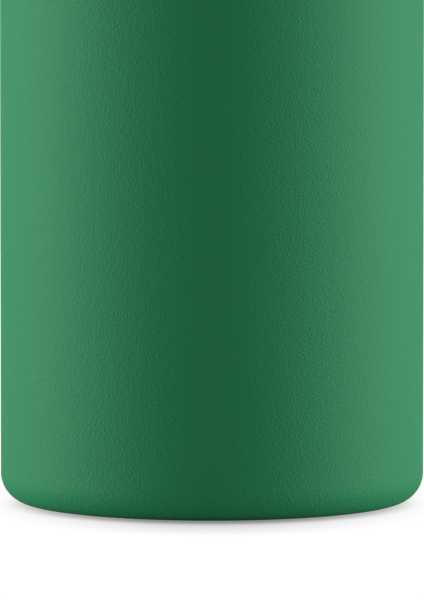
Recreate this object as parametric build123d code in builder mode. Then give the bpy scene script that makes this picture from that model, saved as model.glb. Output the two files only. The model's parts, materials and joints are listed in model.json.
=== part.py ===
from build123d import *

# Vacuum flask: a double-walled steel bottle with a push-button stopper and a screw-on cup.
#
# Millimetres. +Z is up, the origin is the centre of the foot's bottom face, and every piece is coaxial with Z
# apart from the getter. Half-sections are drawn as (radius, height). The stopper and the cup have right-hand
# threads of one lead, so turning either one anticlockwise, seen from above, raises it.

import os
from math import cos, radians, sin, tan

# ---------------------------------------------------------------- driving dimensions
BODY_RADIUS = 39.0  # painted barrel
HEEL_RADIUS = 5.5  # where the barrel turns under
OVERALL_HEIGHT = 285.0

SHELL_WALL = 0.5
VESSEL_WALL = 0.4
VACUUM_GAP = 3.0
FOOT_PROUD = 0.3  # the foot ring stands this far below the shell

SHOULDER_Z = 206.0  # where the barrel ends
SHOULDER_RADIUS = 14.0
SHOULDER_SLOPE = 28.0  # degrees above the horizontal
NECK_BORE_RADIUS = 23.5
NECK_GAP = 2.2  # vacuum gap inside the neck
THROAT_RADIUS = 21.3  # the stopper's gasket seals in here
THROAT_TOP_Z = 221.5
SEAT_RISE = 2.0  # the cone from the throat out to the neck bore
LIP_Z = 240.0
LIP_ROUND = 1.1

BASE_RECESS_RADIUS = 30.3  # the shell's turned-up flange
BASE_RECESS_DEPTH = 5.0
BASE_FOLD = 1.0

# Both threads: three starts of one lead, half a turn long.
THREAD_LEAD = 15.0
THREAD_STARTS = 3
THREAD_PITCH = THREAD_LEAD / THREAD_STARTS
THREAD_RISE = 7.5
THREAD_Z = 226.4  # middle of each rib where it starts
RIB_ROOT_WIDTH = 2.2
RIB_CREST_WIDTH = 1.1
RIB_BITE = 0.3  # how far a rib is rooted in its wall
RUN_OUT_ANGLE = 20.0  # degrees, the ramp at each rib's ends

COLLAR_RADIUS = 29.3
COLLAR_CREST_RADIUS = 30.7
CUP_THREAD_RADIUS = 31.1
CUP_CREST_RADIUS = 29.7
NECK_CREST_RADIUS = 22.2
STOPPER_RADIUS = 21.8
STOPPER_CREST_RADIUS = 23.1

CUP_RADIUS = 35.5
CUP_WALL = 0.4
CUP_GAP = 1.8
CUP_RIM_Z = 219.7
CUP_CORNER = 6.0
CUP_FLOOR_GAP = 2.5  # between the cup's two floors, which are uppermost
CUP_RECESS_DEPTH = 1.0

CORE_RADIUS = 14.0  # the stopper's inner tube
CORE_BORE_RADIUS = 12.4
VALVE_OPENING_RADIUS = 9.4
STOPPER_BOTTOM_Z = 212.0
WINDOW_COUNT = 6  # pouring windows round the stopper's head
HEAD_RADIUS = 26.0
HEAD_TOP_Z = 251.0
COVER_RADIUS = 27.4
COVER_TOP_Z = 262.0
GRIP_FLUTES = 30
STEM_RADIUS = 2.5
BUTTON_RADIUS = 13.0
BUTTON_TRAVEL = 5.0
BUTTON_PROUD = 3.0
SPRING_WIRE = 0.8
SPRING_TURNS = 4.5

# ---------------------------------------------------------------- worked out from them
shell_bottom = FOOT_PROUD
recess_top = shell_bottom + BASE_RECESS_DEPTH
vessel_bore = BODY_RADIUS - SHELL_WALL - VACUUM_GAP - VESSEL_WALL
neck_radius = NECK_BORE_RADIUS + VESSEL_WALL + NECK_GAP + SHELL_WALL
slope = tan(radians(SHOULDER_SLOPE))
shoulder_turn = radians(90 - SHOULDER_SLOPE)
# Where the shoulder's cone, drawn on, meets the barrel's and the neck's cylinders.
shoulder_corner = SHOULDER_Z + SHOULDER_RADIUS * tan(shoulder_turn / 2)
neck_corner = shoulder_corner + (BODY_RADIUS - neck_radius) * slope
lip_underside = LIP_Z - VESSEL_WALL
cup_bore = CUP_RADIUS - 2 * CUP_WALL - CUP_GAP


def sheet_section(points, radii, wall, side):
    """The half-section of a formed sheet: a line with rounded corners, thickened to one side."""
    with BuildSketch(Plane.XZ) as section:
        with BuildLine():
            FilletPolyline(*points, radius=radii)
            offset(amount=wall, side=side)
        make_face()
    return section.sketch


def solid_section(points, radii=()):
    """The half-section of a turned or moulded piece: a closed outline, with a radius for each corner."""
    with BuildSketch(Plane.XZ) as section:
        with BuildLine():
            Polyline(*points, close=True)
        make_face()
        for point, radius in zip(points, radii):
            if radius:
                fillet(section.vertices().sort_by_distance(Vector(*point))[0], radius)
    return section.sketch


def ring_section(inner, outer, bottom, top, radii=()):
    """The half-section of a ring. Its corners run inner bottom, outer bottom, outer top, inner top."""
    return solid_section([(inner, bottom), (outer, bottom), (outer, top), (inner, top)], radii)


def thread_ribs(root_radius, crest_radius, shift=0.0):
    """The ribs of one thread, outside a wall if the crest is the larger radius and inside it if not."""
    outward = 1 if crest_radius > root_radius else -1
    start_z = THREAD_Z + shift
    ramp_length = 10.0
    ramp_start = 1.0
    foot = root_radius - outward * RIB_BITE
    with BuildPart() as rib:
        with BuildLine() as route:
            Helix(THREAD_LEAD, THREAD_RISE, root_radius, center=(0, 0, start_z))
        with BuildSketch(Plane.XZ):
            with BuildLine():
                Polyline(
                    (foot, start_z - RIB_ROOT_WIDTH / 2),
                    (crest_radius, start_z - RIB_CREST_WIDTH / 2),
                    (crest_radius, start_z + RIB_CREST_WIDTH / 2),
                    (foot, start_z + RIB_ROOT_WIDTH / 2),
                    close=True,
                )
            make_face()
        sweep(path=route.line, is_frenet=True)
        # A ramp at each end brings the rib down to its wall.
        for end, sense in ((0.0, 1), (1.0, -1)):
            angle = radians(360 * end * THREAD_RISE / THREAD_LEAD)
            radial = Vector(cos(angle), sin(angle), 0)
            along = Vector(-sin(angle), cos(angle), 0) * sense
            lean = radians(RUN_OUT_ANGLE)
            up_ramp = along * cos(lean) + radial * (outward * sin(lean))
            off_ramp = radial * (outward * cos(lean)) - along * sin(lean)
            start = radial * root_radius + Vector(0, 0, start_z + end * THREAD_RISE)
            with Locations(Plane(start - up_ramp * ramp_start, x_dir=up_ramp, z_dir=off_ramp)):
                Box(
                    ramp_length,
                    THREAD_PITCH,
                    ramp_length / 2,
                    align=(Align.MIN, Align.CENTER, Align.MIN),
                    mode=Mode.SUBTRACT,
                )
    return [rib.part.rotate(Axis.Z, start * 360 / THREAD_STARTS) for start in range(THREAD_STARTS)]


# ================================================================ bottle
# The painted outer shell: a turned-up base flange, the heel, the barrel, the shoulder and the neck.
with BuildPart() as outer_shell:
    revolve(
        sheet_section(
            [
                (BASE_RECESS_RADIUS, recess_top),
                (BASE_RECESS_RADIUS, shell_bottom),
                (BODY_RADIUS, shell_bottom),
                (BODY_RADIUS, shoulder_corner),
                (neck_radius, neck_corner),
                (neck_radius, lip_underside),
            ],
            [BASE_FOLD, HEEL_RADIUS, SHOULDER_RADIUS, 3.0],
            SHELL_WALL,
            Side.LEFT,
        ),
        axis=Axis.Z,
    )

# The inner vessel's wall: a tube, welded to the neck above it and to the floor below it.
VESSEL_SEAM_Z = 22.0
VESSEL_WELD_Z = 200.0
with BuildPart() as inner_vessel:
    revolve(
        ring_section(vessel_bore, vessel_bore + VESSEL_WALL, VESSEL_SEAM_Z, VESSEL_WELD_Z),
        axis=Axis.Z,
    )

# The vessel's neck: its shoulder, the throat and the threaded mouth, with a lip rolled over the shell's neck.
VESSEL_SHOULDER_DROP = 7.0  # below the outer shoulder
vessel_corner = shoulder_corner - VESSEL_SHOULDER_DROP
throat_corner = vessel_corner + (vessel_bore - THROAT_RADIUS) * slope
seat_top = THROAT_TOP_Z + SEAT_RISE
with BuildPart() as inner_neck:
    revolve(
        sheet_section(
            [
                (vessel_bore, VESSEL_WELD_Z),
                (vessel_bore, vessel_corner),
                (THROAT_RADIUS, throat_corner),
                (THROAT_RADIUS, THROAT_TOP_Z),
                (NECK_BORE_RADIUS, seat_top),
                (NECK_BORE_RADIUS, LIP_Z),
                (neck_radius, LIP_Z),
            ],
            [10.0, 4.0, 0.6, 1.2, LIP_ROUND],
            VESSEL_WALL,
            Side.RIGHT,
        ),
        axis=Axis.Z,
    )
    add(thread_ribs(NECK_BORE_RADIUS, NECK_CREST_RADIUS))

# The vessel's floor, a drawn dish with a raised centre, welded on at the seam.
VESSEL_FLOOR_Z = 9.7
FLOOR_DOME = 2.0
DOME_FOOT_RADIUS = 22.0
DOME_CROWN_RADIUS = 14.0
with BuildPart() as inner_bottom:
    revolve(
        sheet_section(
            [
                (vessel_bore, VESSEL_SEAM_Z),
                (vessel_bore, VESSEL_FLOOR_Z),
                (DOME_FOOT_RADIUS, VESSEL_FLOOR_Z),
                (DOME_CROWN_RADIUS, VESSEL_FLOOR_Z + FLOOR_DOME),
                (0.0, VESSEL_FLOOR_Z + FLOOR_DOME),
            ],
            [8.0, 6.0, 6.0],
            VESSEL_WALL,
            Side.LEFT,
        ),
        axis=Axis.Z,
    )

# Copper foil round the vessel, which turns radiant heat back.
FOIL_GAP = 0.1
FOIL_THICKNESS = 0.2
FOIL_MARGIN = 2.0  # from the seam and from the weld
foil_inner = vessel_bore + VESSEL_WALL + FOIL_GAP
foil_bottom = VESSEL_SEAM_Z + FOIL_MARGIN
foil_top = VESSEL_WELD_Z - FOIL_MARGIN
with BuildPart() as reflective_foil:
    revolve(ring_section(foil_inner, foil_inner + FOIL_THICKNESS, foil_bottom, foil_top), axis=Axis.Z)

# The pressed disc that closes the vacuum, with a dimple and a pumping hole in its centre.
VACUUM_DISC_Z = 5.6
DISC_RIM_Z = 2.2
DIMPLE_DEPTH = 1.4
DIMPLE_RADIUS = 6.4
DIMPLE_FLAT_RADIUS = 5.0
PUMP_HOLE_RADIUS = 0.6
disc_rim = BASE_RECESS_RADIUS - 0.1
dimple_top = VACUUM_DISC_Z + DIMPLE_DEPTH
with BuildPart() as vacuum_bottom:
    revolve(
        sheet_section(
            [
                (disc_rim, DISC_RIM_Z),
                (disc_rim, VACUUM_DISC_Z),
                (DIMPLE_RADIUS, VACUUM_DISC_Z),
                (DIMPLE_FLAT_RADIUS, dimple_top),
                (PUMP_HOLE_RADIUS, dimple_top),
            ],
            [1.2, 0.8, 0.8],
            SHELL_WALL,
            Side.LEFT,
        ),
        axis=Axis.Z,
    )

# Glass melted into the dimple, which seals the pumping hole.
BEAD_RADIUS = 4.0
BEAD_DEPTH = 1.1
dimple_ceiling = dimple_top - SHELL_WALL
with BuildPart() as seal_bead:
    revolve(
        solid_section(
            [
                (0.0, dimple_ceiling - BEAD_DEPTH),
                (BEAD_RADIUS - 0.4, dimple_ceiling - BEAD_DEPTH + 0.4),
                (BEAD_RADIUS, dimple_ceiling),
                (PUMP_HOLE_RADIUS, dimple_ceiling),
                (PUMP_HOLE_RADIUS, dimple_top),
                (0.0, dimple_top),
            ],
        ),
        axis=Axis.Z,
    )

# The getter, a pressed pellet that takes up stray gas, and the spot-welded strap that holds it.
GETTER_X = 16.0
GETTER_RADIUS = 4.5
GETTER_HEIGHT = 1.6
STRAP_THICKNESS = 0.3
STRAP_WIDTH = 4.0
STRAP_FOOT = 3.0  # each spot-welded foot's length
with BuildPart() as getter_pellet:
    with BuildSketch(Plane.XY.offset(VACUUM_DISC_Z)):
        with Locations((GETTER_X, 0)):
            Circle(GETTER_RADIUS)
    extrude(amount=GETTER_HEIGHT)
    chamfer(getter_pellet.edges().group_by(Axis.Z)[-1], 0.3)

with BuildPart() as getter_strap:
    pellet_top = VACUUM_DISC_Z + GETTER_HEIGHT
    wing = GETTER_RADIUS + 0.5
    with BuildSketch(Plane.XZ):
        with BuildLine():
            Polyline(
                (GETTER_X - wing - STRAP_FOOT, VACUUM_DISC_Z),
                (GETTER_X - wing, VACUUM_DISC_Z),
                (GETTER_X - wing, pellet_top),
                (GETTER_X + wing, pellet_top),
                (GETTER_X + wing, VACUUM_DISC_Z),
                (GETTER_X + wing + STRAP_FOOT, VACUUM_DISC_Z),
            )
            offset(amount=STRAP_THICKNESS, side=Side.LEFT)
        make_face()
    extrude(amount=STRAP_WIDTH / 2, both=True)

# The bare steel base plate, pressed into the recess.
COVER_RIM_RADIUS = 29.4
COVER_RIM_Z = 4.6
COVER_PLATE_Z = 1.6
COVER_DISH_RADIUS = 23.3
COVER_DISH_RISE = 0.8
with BuildPart() as base_cover:
    revolve(
        sheet_section(
            [
                (COVER_RIM_RADIUS, COVER_RIM_Z),
                (COVER_RIM_RADIUS, COVER_PLATE_Z),
                (COVER_DISH_RADIUS, COVER_PLATE_Z),
                (COVER_DISH_RADIUS - 1.0, COVER_PLATE_Z + COVER_DISH_RISE),
                (0.0, COVER_PLATE_Z + COVER_DISH_RISE),
            ],
            [1.0, 0.6, 1.0],
            VESSEL_WALL,
            Side.RIGHT,
        ),
        axis=Axis.Z,
    )

# The silicone ring that the flask stands on, bonded to the base plate, with two fine grooves round its foot.
FOOT_INNER_RADIUS = 23.8
FOOT_OUTER_RADIUS = 28.4
FOOT_GROOVE_OFFSET = 0.7  # from the middle of the ring
foot_middle = (FOOT_INNER_RADIUS + FOOT_OUTER_RADIUS) / 2
with BuildPart() as foot_ring:
    revolve(ring_section(FOOT_INNER_RADIUS, FOOT_OUTER_RADIUS, 0.0, COVER_PLATE_Z, [0.4] * 4), axis=Axis.Z)
    with BuildSketch(Plane.XZ):
        with Locations((foot_middle - FOOT_GROOVE_OFFSET, 0), (foot_middle + FOOT_GROOVE_OFFSET, 0)):
            Rectangle(0.5, 0.6)
    revolve(axis=Axis.Z, mode=Mode.SUBTRACT)

# The bright trim ring on the shoulder, which the cup closes down to.
TRIM_RADIUS = 35.2
TRIM_BORE_RADIUS = 31.4
TRIM_TOP_Z = 219.4
TRIM_CLEARANCE = 0.35
trim_bore_z = shoulder_corner + (BODY_RADIUS - TRIM_BORE_RADIUS) * slope + TRIM_CLEARANCE
shoulder_centre = BODY_RADIUS - SHOULDER_RADIUS
trim_edge_z = SHOULDER_Z + (SHOULDER_RADIUS**2 - (TRIM_RADIUS - shoulder_centre) ** 2) ** 0.5
with BuildPart() as trim_ring:
    revolve(
        solid_section(
            [
                (TRIM_BORE_RADIUS, trim_bore_z),
                (TRIM_RADIUS, trim_edge_z + TRIM_CLEARANCE),
                (TRIM_RADIUS, TRIM_TOP_Z),
                (TRIM_BORE_RADIUS, TRIM_TOP_Z),
            ],
            [0, 0.2, 0.6, 0],
        ),
        axis=Axis.Z,
    )

# The plastic collar on the neck, with the cup's thread.
COLLAR_BOTTOM_Z = 222.9
COLLAR_TOP_Z = 238.4
with BuildPart() as thread_collar:
    revolve(
        ring_section(neck_radius + 0.1, COLLAR_RADIUS, COLLAR_BOTTOM_Z, COLLAR_TOP_Z, [0.3, 0.3, 1.0, 0.3]),
        axis=Axis.Z,
    )
    add(thread_ribs(COLLAR_RADIUS, COLLAR_CREST_RADIUS))

# ================================================================ stopper
# The gasket that seals in the throat. It fills a groove near the stopper's lower end.
GASKET_RADIUS = THROAT_RADIUS - 0.25
GASKET_GROOVE_RADIUS = 17.6
GASKET_BOTTOM_Z = 216.8
GASKET_TOP_Z = 221.0
GASKET_CLEARANCE = 0.15
gasket_middle = (GASKET_BOTTOM_Z + GASKET_TOP_Z) / 2
with BuildPart() as stopper_gasket:
    inner = GASKET_GROOVE_RADIUS + GASKET_CLEARANCE
    low, high = GASKET_BOTTOM_Z + GASKET_CLEARANCE, GASKET_TOP_Z - GASKET_CLEARANCE
    revolve(
        solid_section(
            [
                (inner, low),
                (20.2, low),
                (GASKET_RADIUS, low + 0.9),
                (20.2, gasket_middle),
                (GASKET_RADIUS, high - 0.9),
                (20.2, high),
                (inner, high),
            ],
            [0.2, 0.4, 0.4, 0.4, 0.4, 0.4, 0.2],
        ),
        axis=Axis.Z,
    )

# The stopper's body: a threaded wall with the gasket's groove below it and a web across its top.
WEB_TOP_Z = LIP_Z + 0.3
WEB_THICKNESS = 2.0
WEB_HOLE_RADIUS = CORE_RADIUS + 0.2
BODY_FOOT_BORE = 16.2
BODY_FOOT_RADIUS = 19.8
BODY_BORE = 20.0
BODY_SHELF_RADIUS = 20.2  # over the gasket
web_underside = WEB_TOP_Z - WEB_THICKNESS
with BuildPart() as stopper_body:
    revolve(
        solid_section(
            [
                (BODY_FOOT_BORE, STOPPER_BOTTOM_Z),
                (BODY_FOOT_RADIUS - 1.2, STOPPER_BOTTOM_Z),
                (BODY_FOOT_RADIUS, 214.6),
                (BODY_FOOT_RADIUS, GASKET_BOTTOM_Z),
                (GASKET_GROOVE_RADIUS, GASKET_BOTTOM_Z),
                (GASKET_GROOVE_RADIUS, GASKET_TOP_Z),
                (BODY_SHELF_RADIUS, GASKET_TOP_Z),
                (BODY_SHELF_RADIUS, 222.2),
                (STOPPER_RADIUS, 224.4),
                (STOPPER_RADIUS, WEB_TOP_Z),
                (WEB_HOLE_RADIUS, WEB_TOP_Z),
                (WEB_HOLE_RADIUS, web_underside),
                (BODY_BORE, web_underside),
                (BODY_BORE, 224.6),
                (BODY_FOOT_BORE, 222.4),
            ],
            [0, 0.6, 0.4, 0.3, 0.2, 0.2, 0.2, 0.4, 0.8, 0, 0.3, 0, 0.8, 0.5, 0.5],
        ),
        axis=Axis.Z,
    )
    add(thread_ribs(STOPPER_RADIUS, STOPPER_CREST_RADIUS, shift=THREAD_PITCH / 2))

# The pouring ring on top of it, with a flange over the flask's lip and a window at each sixth of a turn.
FLANGE_BORE_RADIUS = 18.6
FLANGE_THICKNESS = 1.2
FLANGE_SLOPE_RISE = 1.0
HEAD_WALL = 2.0
WINDOW_WIDTH = 16.0
WINDOW_TOP_Z = 248.4
window_sill = WEB_TOP_Z + FLANGE_THICKNESS + FLANGE_SLOPE_RISE
with BuildPart() as pour_ring:
    revolve(
        solid_section(
            [
                (FLANGE_BORE_RADIUS, WEB_TOP_Z),
                (COVER_RADIUS, WEB_TOP_Z),
                (COVER_RADIUS, WEB_TOP_Z + FLANGE_THICKNESS),
                (HEAD_RADIUS, window_sill),
                (HEAD_RADIUS, HEAD_TOP_Z),
                (HEAD_RADIUS - HEAD_WALL, HEAD_TOP_Z),
                (HEAD_RADIUS - HEAD_WALL, WEB_TOP_Z + FLANGE_THICKNESS),
                (FLANGE_BORE_RADIUS, WEB_TOP_Z + FLANGE_THICKNESS),
            ],
            [0, 0.5, 0.5, 0.4, 0, 0, 0.5, 0.5],
        ),
        axis=Axis.Z,
    )
    with BuildSketch(Plane.XY.offset(window_sill)):
        with PolarLocations(HEAD_RADIUS, WINDOW_COUNT):
            Rectangle(4 * HEAD_WALL, WINDOW_WIDTH)
    extrude(amount=WINDOW_TOP_Z - window_sill, mode=Mode.SUBTRACT)

# The core: the pouring tube, the valve's seat at its foot, and a spider that guides the stem.
CORE_TOP_Z = 241.5
SEAT_THICKNESS = 1.6
GUIDE_BOTTOM_Z = 222.0
GUIDE_HEIGHT = 6.0
GUIDE_RADIUS = 4.6
GUIDE_ARMS = 3
GUIDE_ARM_WIDTH = 1.6
SEAT_RIM_RADIUS = BODY_FOOT_BORE - 0.2
seat_top_face = STOPPER_BOTTOM_Z + SEAT_THICKNESS
with BuildPart() as stopper_core:
    revolve(
        solid_section(
            [
                (VALVE_OPENING_RADIUS, STOPPER_BOTTOM_Z),
                (SEAT_RIM_RADIUS, STOPPER_BOTTOM_Z),
                (SEAT_RIM_RADIUS, seat_top_face),
                (CORE_RADIUS, seat_top_face),
                (CORE_RADIUS, CORE_TOP_Z),
                (CORE_BORE_RADIUS, CORE_TOP_Z),
                (CORE_BORE_RADIUS, seat_top_face),
                (VALVE_OPENING_RADIUS, seat_top_face),
            ],
            [0.5, 0, 0, 0.3, 0.6, 0.6, 1.0, 0.5],
        ),
        axis=Axis.Z,
    )
    with BuildSketch(Plane.XY.offset(GUIDE_BOTTOM_Z)):
        Circle(GUIDE_RADIUS)
        with PolarLocations(0, GUIDE_ARMS):
            Rectangle(
                CORE_BORE_RADIUS + 0.4,
                GUIDE_ARM_WIDTH,
                align=(Align.MIN, Align.CENTER),
            )
        Circle(STEM_RADIUS + 0.3, mode=Mode.SUBTRACT)
    extrude(amount=GUIDE_HEIGHT)

# The foam ring between the core and the body.
FOAM_GAP = 0.3
FOAM_TOP_Z = 236.0
foam_bottom = seat_top_face + 0.4
with BuildPart() as insulation_ring:
    revolve(
        solid_section(
            [
                (CORE_RADIUS + FOAM_GAP, foam_bottom),
                (BODY_FOOT_BORE - FOAM_GAP, foam_bottom),
                (BODY_FOOT_BORE - FOAM_GAP, 223.4),
                (BODY_BORE - FOAM_GAP, 225.4),
                (BODY_BORE - FOAM_GAP, FOAM_TOP_Z),
                (CORE_RADIUS + FOAM_GAP, FOAM_TOP_Z),
            ],
        ),
        axis=Axis.Z,
    )

# The O-ring that seals the core to the body, under the web.
CORE_SEAL_WIRE = 1.6
core_seal_reach = CORE_SEAL_WIRE / 2 + 0.05
with BuildPart() as core_o_ring:
    with BuildSketch(Plane.XZ):
        with Locations((CORE_RADIUS + core_seal_reach, web_underside - core_seal_reach)):
            Circle(CORE_SEAL_WIRE / 2)
    revolve(axis=Axis.Z)

# The deck that roofs the pouring chamber, with a boss and a gland for the stem's O-ring.
DECK_THICKNESS = 1.8
DECK_RADIUS = 25.8
BOSS_RADIUS = 5.6
BOSS_DEPTH = 3.0
GLAND_RADIUS = 4.0
GLAND_DEPTH = 1.8
deck_top = HEAD_TOP_Z + DECK_THICKNESS
with BuildPart() as stopper_deck:
    with BuildSketch(Plane.XY.offset(HEAD_TOP_Z)):
        Circle(DECK_RADIUS)
    extrude(amount=DECK_THICKNESS)
    with BuildSketch(Plane.XY.offset(HEAD_TOP_Z)):
        Circle(BOSS_RADIUS)
    extrude(amount=-BOSS_DEPTH)
    with Locations((0, 0, deck_top)):
        CounterBoreHole(STEM_RADIUS + 0.3, GLAND_RADIUS, GLAND_DEPTH)
    fillet(stopper_deck.edges().filter_by(GeomType.CIRCLE).group_by(Axis.Z)[0], 0.25)

# The O-ring in the gland, which seals the stem.
stem_seal_wire = GLAND_RADIUS - STEM_RADIUS - 0.5
with BuildPart() as stem_o_ring:
    with BuildSketch(Plane.XZ):
        with Locations(((GLAND_RADIUS + STEM_RADIUS + 0.2) / 2, deck_top - GLAND_DEPTH / 2)):
            Circle(stem_seal_wire / 2)
    revolve(axis=Axis.Z)

# The steel washer that closes the gland and carries the spring.
WASHER_THICKNESS = 0.5
WASHER_RADIUS = 8.2
washer_top = deck_top + WASHER_THICKNESS
with BuildPart() as spring_washer:
    with BuildSketch(Plane.XY.offset(deck_top)):
        Circle(WASHER_RADIUS)
        Circle(STEM_RADIUS + 0.4, mode=Mode.SUBTRACT)
    extrude(amount=WASHER_THICKNESS)

# The cover: a fluted grip skirt, a top ring and the button's well.
WELL_RADIUS = BUTTON_RADIUS + 0.4
WELL_WALL = 1.6
SKIRT_BOTTOM_Z = 249.6
SKIRT_BORE_RADIUS = HEAD_RADIUS + 0.2
FLUTE_RADIUS = 1.3
FLUTE_LENGTH = 8.6
with BuildPart() as top_cover:
    revolve(
        solid_section(
            [
                (SKIRT_BORE_RADIUS, SKIRT_BOTTOM_Z),
                (COVER_RADIUS, SKIRT_BOTTOM_Z),
                (COVER_RADIUS, COVER_TOP_Z),
                (WELL_RADIUS, COVER_TOP_Z),
                (WELL_RADIUS, deck_top),
                (WELL_RADIUS + WELL_WALL, deck_top),
                (WELL_RADIUS + WELL_WALL, COVER_TOP_Z - WELL_WALL),
                (SKIRT_BORE_RADIUS, COVER_TOP_Z - WELL_WALL),
            ],
            [0, 0.4, 2.0, 0.8, 0, 0, 0.8, 0.8],
        ),
        axis=Axis.Z,
    )
    with BuildSketch(Plane.XY.offset(SKIRT_BOTTOM_Z)):
        with PolarLocations(COVER_RADIUS + 0.6, GRIP_FLUTES):
            Circle(FLUTE_RADIUS)
    extrude(amount=FLUTE_LENGTH, mode=Mode.SUBTRACT)

# The button, a hollow cap with a boss that the stem is pressed into.
BUTTON_CROWN = 0.6
BUTTON_TOP_WALL = 1.6
BUTTON_SIDE_WALL = 1.2
BUTTON_END_GAP = 0.5  # left over the washer when the button is down
BOSS_WALL = 1.7
button_top = COVER_TOP_Z + BUTTON_PROUD
button_ceiling = button_top - BUTTON_CROWN - BUTTON_TOP_WALL
skirt_z = washer_top + BUTTON_TRAVEL + BUTTON_END_GAP
with BuildPart() as button:
    revolve(
        solid_section(
            [
                (0, button_ceiling),
                (0, button_top),
                (BUTTON_RADIUS, button_top - BUTTON_CROWN),
                (BUTTON_RADIUS, skirt_z),
                (BUTTON_RADIUS - BUTTON_SIDE_WALL, skirt_z),
                (BUTTON_RADIUS - BUTTON_SIDE_WALL, button_ceiling),
            ],
            [0, 0, 1.4, 0.2, 0.2, 0.5],
        ),
        axis=Axis.Z,
    )
    with BuildSketch(Plane.XY.offset(skirt_z)):
        Circle(STEM_RADIUS + BOSS_WALL)
        Circle(STEM_RADIUS, mode=Mode.SUBTRACT)
    extrude(amount=button_ceiling - skirt_z + 0.2)

# The stem, pressed into the button above, with the valve's head below.
VALVE_RADIUS = 11.4
VALVE_HEAD_Z = 206.4
VALVE_HEAD_THICKNESS = 1.8
head_top = VALVE_HEAD_Z + VALVE_HEAD_THICKNESS
with BuildPart() as valve_stem:
    revolve(
        solid_section(
            [
                (0, VALVE_HEAD_Z),
                (VALVE_RADIUS - 0.8, VALVE_HEAD_Z),
                (VALVE_RADIUS, VALVE_HEAD_Z + 1.0),
                (VALVE_RADIUS, head_top),
                (STEM_RADIUS, head_top),
                (STEM_RADIUS, button_ceiling),
                (0, button_ceiling),
            ],
            [0, 0.4, 0.3, 0.2, 0, 0.5, 0],
        ),
        axis=Axis.Z,
    )

# The silicone seal on the valve's head, which closes against the core's foot.
SEAL_CLEARANCE = 0.15
SEAL_DISH = 1.2  # how far the seal's middle lies below its rim
seal_top = STOPPER_BOTTOM_Z - SEAL_CLEARANCE
with BuildPart() as valve_seal:
    revolve(
        solid_section(
            [
                (STEM_RADIUS + 0.1, head_top),
                (10.8, head_top),
                (VALVE_RADIUS, head_top + 1.4),
                (VALVE_RADIUS, seal_top),
                (8.4, seal_top),
                (6.4, seal_top - SEAL_DISH),
                (STEM_RADIUS + 0.1, seal_top - SEAL_DISH),
            ],
            [0, 0.3, 0.5, 0.6, 0.3, 0.6, 0],
        ),
        axis=Axis.Z,
    )

# The spring that lifts the button and shuts the valve.
SPRING_RADIUS = 7.0
spring_inset = SPRING_WIRE / 2 + 0.05
spring_low = washer_top + spring_inset
spring_rise = button_ceiling - spring_inset - spring_low
with BuildPart() as button_spring:
    with BuildLine() as coil:
        Helix(spring_rise / SPRING_TURNS, spring_rise, SPRING_RADIUS, center=(0, 0, spring_low))
    with BuildSketch(Plane(coil.line @ 0, z_dir=coil.line % 0)):
        Circle(SPRING_WIRE / 2)
    sweep(path=coil.line, is_frenet=True)

# ================================================================ cup
# The painted shell, with a recessed end so that the cup stands when it is turned over.
CUP_STAND_RADIUS = 27.5  # inside the rim that it stands on
CUP_LINER_CORNER = 5.0
cup_floor_z = OVERALL_HEIGHT - CUP_RECESS_DEPTH
with BuildPart() as cup_shell:
    revolve(
        sheet_section(
            [
                (cup_bore + CUP_WALL + 0.05, CUP_RIM_Z),
                (CUP_RADIUS, CUP_RIM_Z),
                (CUP_RADIUS, OVERALL_HEIGHT),
                (CUP_STAND_RADIUS, OVERALL_HEIGHT),
                (CUP_STAND_RADIUS - 1.2, cup_floor_z),
                (0.0, cup_floor_z),
            ],
            [0.9, CUP_CORNER, 0.8, 0.8],
            CUP_WALL,
            Side.LEFT,
        ),
        axis=Axis.Z,
    )

# The bare steel liner.
liner_ceiling = cup_floor_z - CUP_WALL - CUP_FLOOR_GAP
with BuildPart() as cup_liner:
    revolve(
        sheet_section(
            [
                (cup_bore, CUP_RIM_Z),
                (cup_bore, liner_ceiling),
                (0.0, liner_ceiling),
            ],
            [CUP_LINER_CORNER],
            CUP_WALL,
            Side.RIGHT,
        ),
        axis=Axis.Z,
    )

# The plastic ring in the cup's mouth, with the thread that screws down on the collar.
CUP_RING_BOTTOM_Z = 222.1
CUP_RING_TOP_Z = 237.0
with BuildPart() as cup_thread_ring:
    revolve(
        ring_section(
            CUP_THREAD_RADIUS, cup_bore - 0.1, CUP_RING_BOTTOM_Z, CUP_RING_TOP_Z, [0.3, 0.3, 0.3, 0.6]
        ),
        axis=Axis.Z,
    )
    add(thread_ribs(CUP_THREAD_RADIUS, CUP_CREST_RADIUS, shift=-THREAD_PITCH / 2))

# The silicone ring that lands on the trim ring and stops the cup from rattling.
cup_gasket_bottom = TRIM_TOP_Z + 0.2
cup_gasket_top = CUP_RING_BOTTOM_Z - 0.3
with BuildPart() as cup_gasket:
    revolve(
        ring_section(TRIM_BORE_RADIUS, cup_bore - 0.3, cup_gasket_bottom, cup_gasket_top, [0.4] * 4),
        axis=Axis.Z,
    )

# ================================================================ files
pieces = {
    "outer_shell": outer_shell,
    "inner_vessel": inner_vessel,
    "inner_neck": inner_neck,
    "inner_bottom": inner_bottom,
    "reflective_foil": reflective_foil,
    "vacuum_bottom": vacuum_bottom,
    "seal_bead": seal_bead,
    "getter_pellet": getter_pellet,
    "getter_strap": getter_strap,
    "base_cover": base_cover,
    "foot_ring": foot_ring,
    "trim_ring": trim_ring,
    "thread_collar": thread_collar,
    "stopper_gasket": stopper_gasket,
    "stopper_body": stopper_body,
    "pour_ring": pour_ring,
    "stopper_core": stopper_core,
    "insulation_ring": insulation_ring,
    "core_o_ring": core_o_ring,
    "stopper_deck": stopper_deck,
    "stem_o_ring": stem_o_ring,
    "spring_washer": spring_washer,
    "top_cover": top_cover,
    "button": button,
    "valve_stem": valve_stem,
    "valve_seal": valve_seal,
    "button_spring": button_spring,
    "cup_shell": cup_shell,
    "cup_liner": cup_liner,
    "cup_thread_ring": cup_thread_ring,
    "cup_gasket": cup_gasket,
}
os.makedirs("parts", exist_ok=True)
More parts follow.
